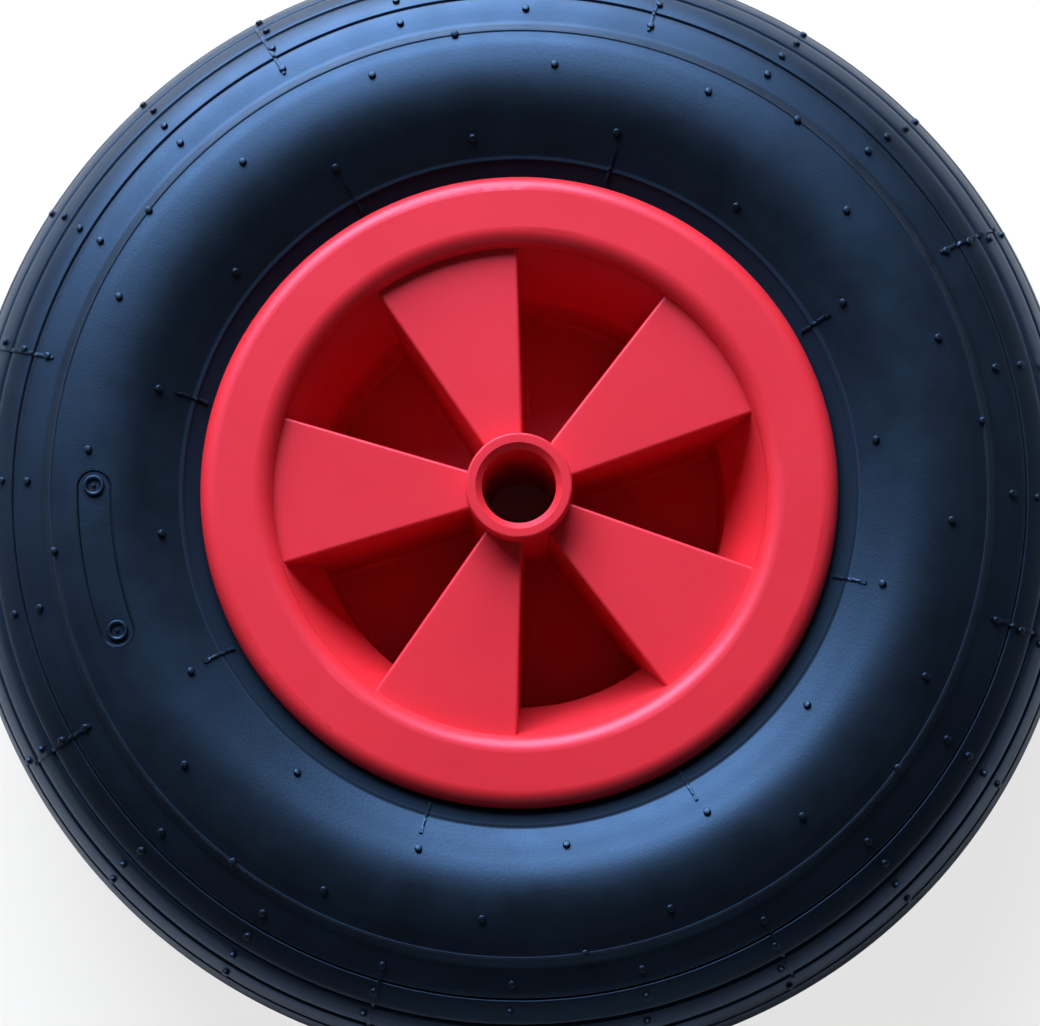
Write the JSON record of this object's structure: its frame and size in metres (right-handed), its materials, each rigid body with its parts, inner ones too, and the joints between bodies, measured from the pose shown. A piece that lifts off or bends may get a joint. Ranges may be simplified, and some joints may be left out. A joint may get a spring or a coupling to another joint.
{
  "type": "pneumatic wheel",
  "caption": "Barrow wheel: ribbed air-filled tyre with inner tube and valve on a one-piece red plastic rim with zigzag web and plain bore.",
  "frame": {"origin": "centre of the wheel: on the axle line, midway between the flanges", "axes": "+Z along the axle, towards the front of the rim; the wheel lies flat on its tyre, back down"},
  "size_m": [0.34, 0.34, 0.08],
  "materials": {
    "rim_plastic": "satin moulded red plastic",
    "tyre_rubber": "satin black rubber",
    "tube_rubber": "matt black rubber",
    "valve_brass": "turned brass",
    "gasket_plastic": "matt",
    "seal_rubber": "matt",
    "spring_steel": "drawn wire",
    "cap_plastic": "satin"
  },
  "bodies": {
    "wheel": {"rim": "rim_plastic", "tyre": "tyre_rubber", "inner_tube": "tube_rubber", "valve_stem": "valve_brass", "valve_core_plug": "valve_brass", "valve_core_barrel": "valve_brass", "valve_core_gasket": "gasket_plastic", "valve_core_spring": "spring_steel"},
    "valve_pin": {"valve_core_pin": "valve_brass", "valve_core_seal": "seal_rubber"},
    "dust_cap": {"valve_cap": "cap_plastic"}
  },
  "joints": [
    {"name": "valve_pin_press", "type": "slide", "parent": "wheel", "child": "valve_pin", "axis": [-0.309, 0.9511, 0], "range_m": [0, 0.0012], "stiffness_N_per_m": 400, "springref_m": -0.001},
    {"name": "dust_cap_removal", "type": "slide", "parent": "wheel", "child": "dust_cap", "axis": [0.309, -0.9511, 0], "range_m": [0, 0.0103]}
  ]
}
